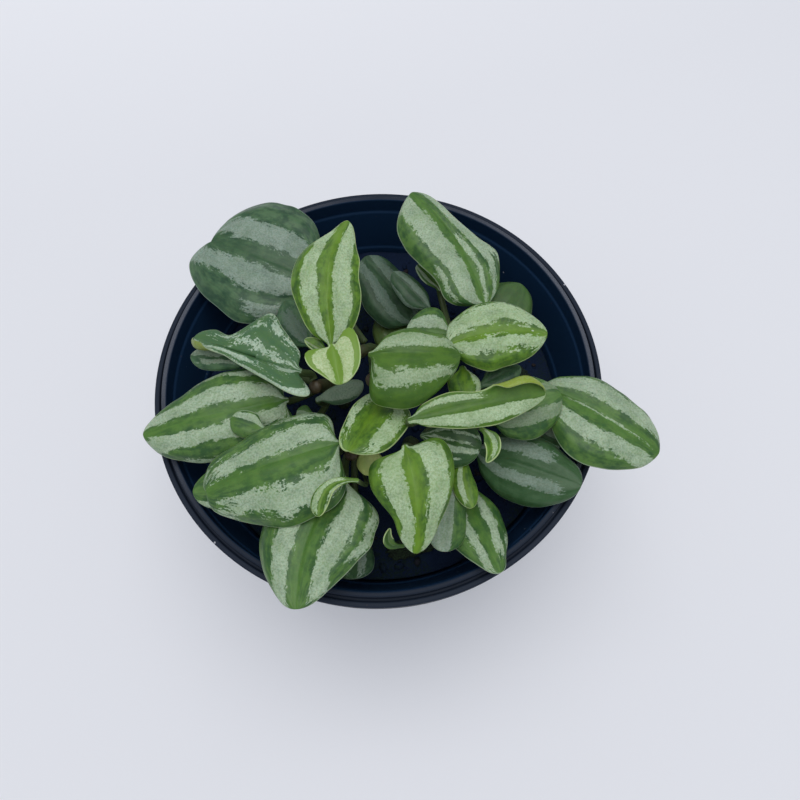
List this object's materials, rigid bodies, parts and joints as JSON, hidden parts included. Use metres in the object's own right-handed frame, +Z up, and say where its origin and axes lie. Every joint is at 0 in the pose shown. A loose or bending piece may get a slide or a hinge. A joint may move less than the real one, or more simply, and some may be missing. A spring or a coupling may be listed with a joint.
{
  "type": "potted peperomia",
  "caption": "Small bushy house plant with silver-striped green leaves on short stalks, growing from dark soil in a round black plastic nursery pot.",
  "frame": {"origin": "middle of the pot's flat underside", "axes": "+Z up along the pot's axis; +X to the right and +Y to the back as the plant is seen from the front"},
  "size_m": [0.1299, 0.1207, 0.1181],
  "materials": {
    "pot_plastic": "moulded black plastic with a dull sheen, dusty",
    "potting_soil": "damp peat and bark fines",
    "bark": "rough chips",
    "moss": "soft green moss",
    "stem": "smooth fleshy stem, reddish near the leaves",
    "leaf_young": "glossy succulent leaf, yellow-green with two silver bands",
    "leaf_mature": "satin succulent leaf, green with silver bands",
    "leaf_old": "satin succulent leaf, dark bluish green with grey bands"
  },
  "bodies": {
    "root": {"pot": "pot_plastic", "soil": "potting_soil", "bark_1": "bark", "bark_2": "bark", "bark_3": "bark", "moss_1": "moss", "moss_2": "moss", "stem_a": "stem", "stem_b": "stem", "stem_c": "stem", "stem_d": "stem", "stem_e": "stem", "stem_f": "stem", "stem_g": "stem", "stem_h": "stem", "leaf_a1": "leaf_young", "leaf_a2": "leaf_young", "leaf_a3": "leaf_young", "leaf_a4": "leaf_old", "leaf_a5": "leaf_old", "leaf_b1": "leaf_mature", "leaf_b3": "leaf_mature", "leaf_b4": "leaf_old", "leaf_b5": "leaf_old", "leaf_b6": "leaf_mature", "leaf_c1": "leaf_mature", "leaf_c2": "leaf_mature", "leaf_c3": "leaf_young", "leaf_c4": "leaf_old", "leaf_c5": "leaf_mature", "leaf_c6": "leaf_mature", "leaf_c7": "leaf_young", "leaf_d1": "leaf_young", "leaf_d2": "leaf_young", "leaf_e1": "leaf_young", "leaf_e2": "leaf_mature", "leaf_e3": "leaf_mature", "leaf_e4": "leaf_old", "leaf_e5": "leaf_mature", "leaf_e6": "leaf_young", "leaf_e7": "leaf_old", "leaf_e8": "leaf_young", "leaf_e9": "leaf_old", "leaf_f1": "leaf_young", "leaf_f2": "leaf_young", "leaf_f3": "leaf_mature", "leaf_f4": "leaf_mature", "leaf_f5": "leaf_young", "leaf_g1": "leaf_young", "leaf_g2": "leaf_mature", "leaf_g3": "leaf_mature", "leaf_g4": "leaf_mature", "leaf_g5": "leaf_mature", "leaf_h1": "leaf_old", "leaf_h2": "leaf_old", "leaf_h3": "leaf_old"}
  },
  "joints": []
}
